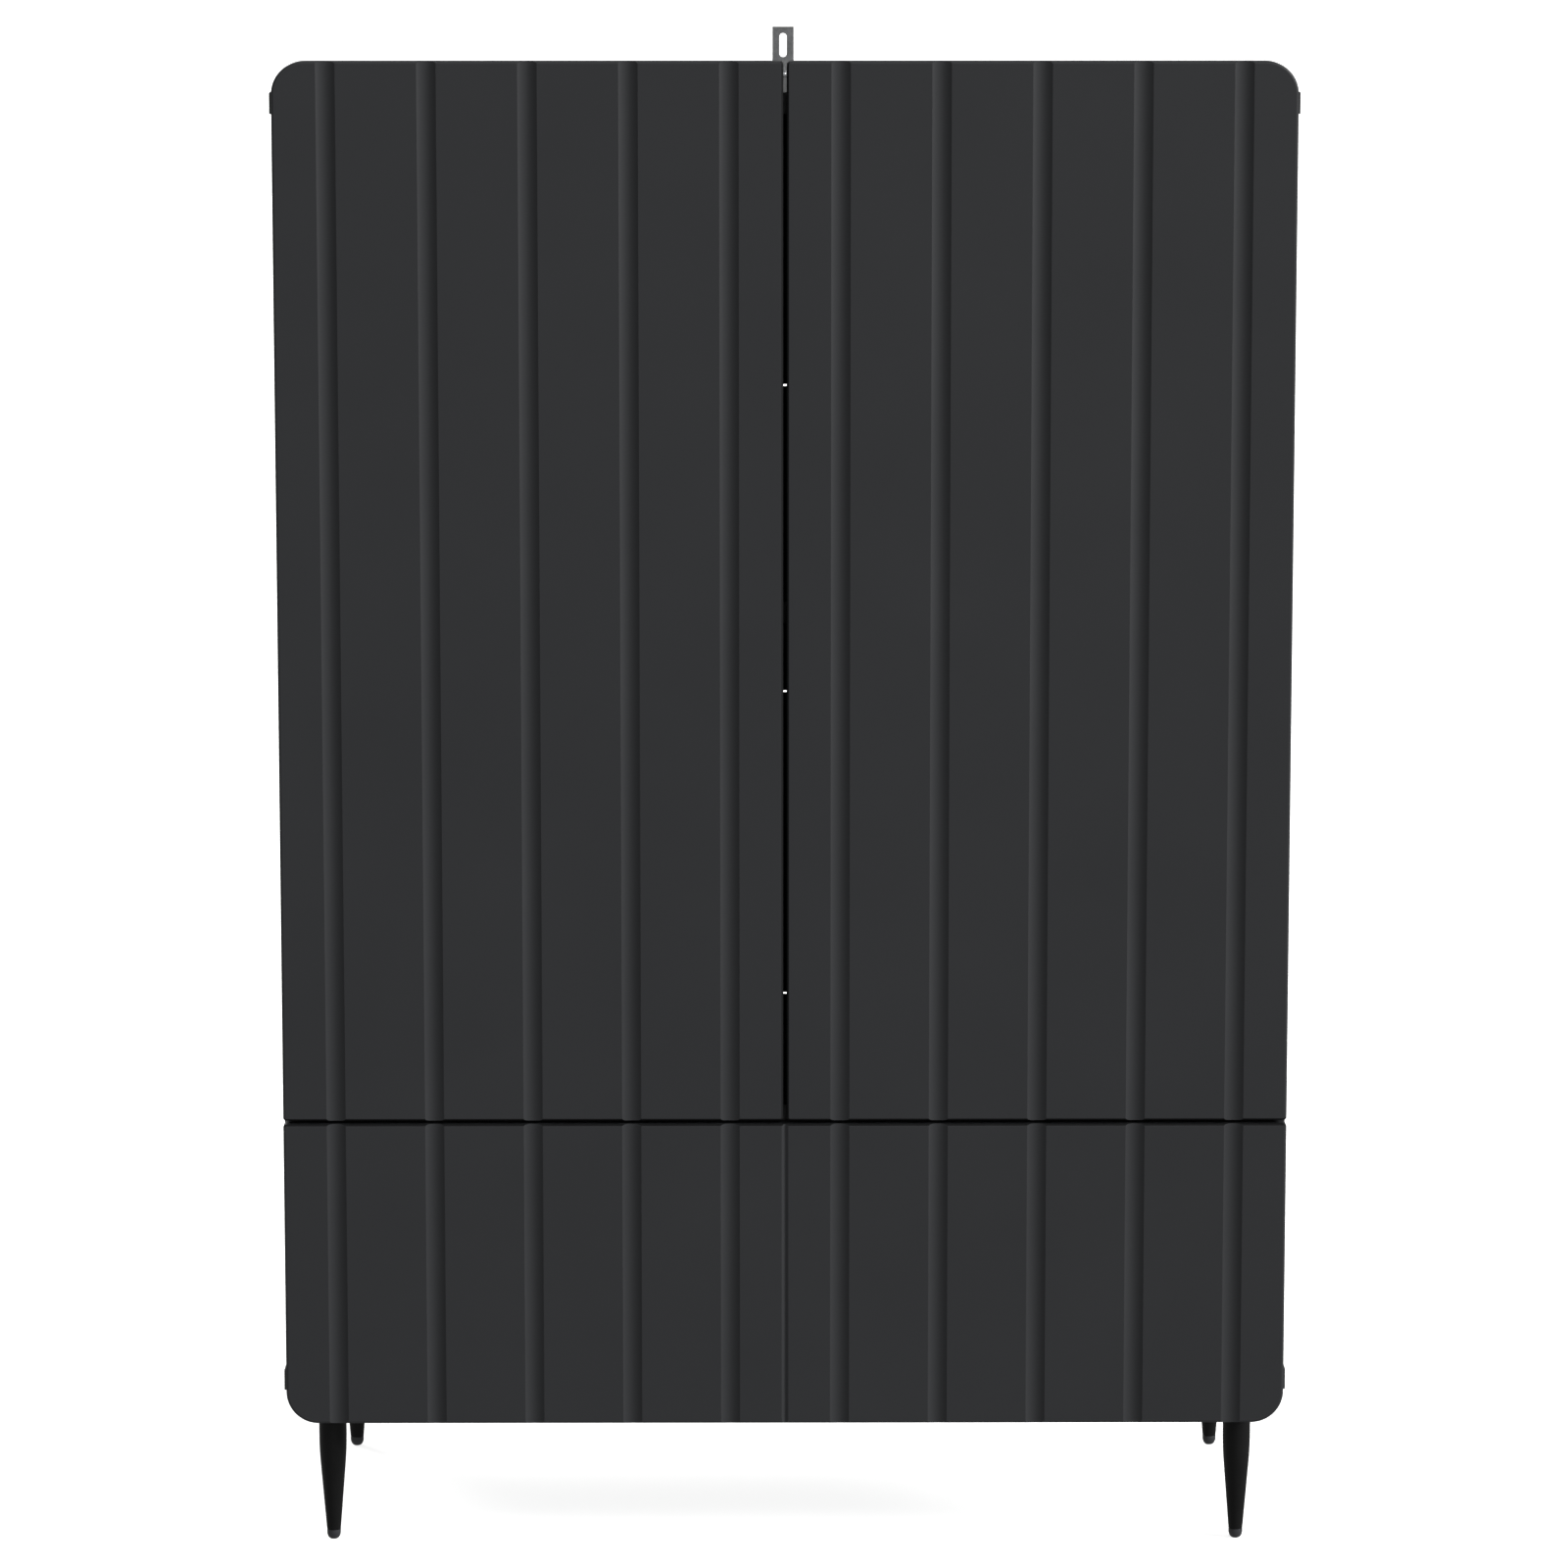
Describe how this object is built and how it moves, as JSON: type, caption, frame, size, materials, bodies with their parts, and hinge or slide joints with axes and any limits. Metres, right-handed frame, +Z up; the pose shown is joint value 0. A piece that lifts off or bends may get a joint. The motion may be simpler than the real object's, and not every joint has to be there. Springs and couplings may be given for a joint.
{
  "type": "wardrobe",
  "caption": "Wardrobe with fluted, handleless doors hung on concealed hinges over a wide drawer on telescopic slides, on tapered legs, with a wall bracket.",
  "frame": {"origin": "on the floor, under the middle of the wardrobe", "axes": "+Z up, +Y to the back, +X to the right seen from the front"},
  "size_m": [0.9064, 0.42, 1.3587],
  "materials": {
    "front_lacquer": "matt lacquered MDF",
    "carcass_board": "foil-faced particleboard",
    "back_board": "foil-faced hardboard",
    "drawer_board": "foil-faced particleboard",
    "leg_black": "black lacquer on turned wood",
    "glide_grey": "moulded",
    "zinc_steel": "zinc plated",
    "nickel_steel": "nickel plated",
    "black_steel": "black powder coat"
  },
  "bodies": {
    "carcass": {"top_board": "carcass_board", "bottom_board": "carcass_board", "divider_board": "carcass_board", "left_side": "carcass_board", "right_side": "carcass_board", "shelf": "carcass_board", "back_panel_1": "back_board", "back_panel_2": "back_board", "back_panel_3": "back_board", "back_panel_4": "back_board", "shelf_pin_left_front": "zinc_steel", "shelf_pin_left_rear": "zinc_steel", "shelf_pin_right_front": "zinc_steel", "shelf_pin_right_rear": "zinc_steel", "leg_front_left": "leg_black", "leg_plate_front_left": "black_steel", "glide_front_left": "glide_grey", "leg_front_right": "leg_black", "leg_plate_front_right": "black_steel", "glide_front_right": "glide_grey", "leg_rear_left": "leg_black", "leg_plate_rear_left": "black_steel", "glide_rear_left": "glide_grey", "leg_rear_right": "leg_black", "leg_plate_rear_right": "black_steel", "glide_rear_right": "glide_grey", "wall_bracket": "zinc_steel", "bracket_screw_1": "zinc_steel", "bracket_screw_2": "zinc_steel", "hinge_arm_left_lower": "nickel_steel", "hinge_arm_left_upper": "nickel_steel", "hinge_arm_right_lower": "nickel_steel", "hinge_arm_right_upper": "nickel_steel", "slide_outer_left": "zinc_steel", "slide_outer_right": "zinc_steel"},
    "left_hinge_links": {"hinge_link_left_lower": "nickel_steel", "hinge_link_left_upper": "nickel_steel"},
    "left_door": {"left_door": "front_lacquer", "hinge_cup_left_lower": "nickel_steel", "hinge_cup_left_upper": "nickel_steel"},
    "right_hinge_links": {"hinge_link_right_lower": "nickel_steel", "hinge_link_right_upper": "nickel_steel"},
    "right_door": {"right_door": "front_lacquer", "hinge_cup_right_lower": "nickel_steel", "hinge_cup_right_upper": "nickel_steel"},
    "drawer_slide_middles": {"slide_middle_left": "zinc_steel", "slide_middle_right": "zinc_steel"},
    "drawer": {"drawer_front": "front_lacquer", "drawer_side_left": "drawer_board", "drawer_side_right": "drawer_board", "drawer_back": "drawer_board", "drawer_bottom": "drawer_board", "slide_inner_left": "zinc_steel", "slide_inner_right": "zinc_steel"}
  },
  "joints": [
    {"name": "left_door_swing", "type": "hinge", "parent": "left_hinge_links", "child": "left_door", "pos_m": [-0.439, -0.193, 0.8505], "axis": [0, 0, -1], "range_deg": [0, 159.3]},
    {"name": "left_hinge_links_swing", "type": "hinge", "parent": "carcass", "child": "left_hinge_links", "pos_m": [-0.42, -0.197, 0.8505], "axis": [0, 0, 1], "range_deg": [0, 59.4]},
    {"name": "right_door_swing", "type": "hinge", "parent": "right_hinge_links", "child": "right_door", "pos_m": [0.439, -0.193, 0.8505], "axis": [0, 0, 1], "range_deg": [0, 159.3]},
    {"name": "right_hinge_links_swing", "type": "hinge", "parent": "carcass", "child": "right_hinge_links", "pos_m": [0.42, -0.197, 0.8505], "axis": [0, 0, -1], "range_deg": [0, 59.4]},
    {"name": "drawer_slide", "type": "slide", "parent": "carcass", "child": "drawer", "axis": [0, -1, 0], "range_m": [0, 0.34]},
    {"name": "slide_middles_travel", "type": "slide", "parent": "carcass", "child": "drawer_slide_middles", "axis": [0, -1, 0], "range_m": [0, 0.171]}
  ],
  "couplings": [
    {"joint": "left_hinge_links_swing", "follows": "left_door_swing", "ratio": 0.37225},
    {"joint": "right_hinge_links_swing", "follows": "right_door_swing", "ratio": 0.37225},
    {"joint": "slide_middles_travel", "follows": "drawer_slide", "ratio": 0.5}
  ]
}
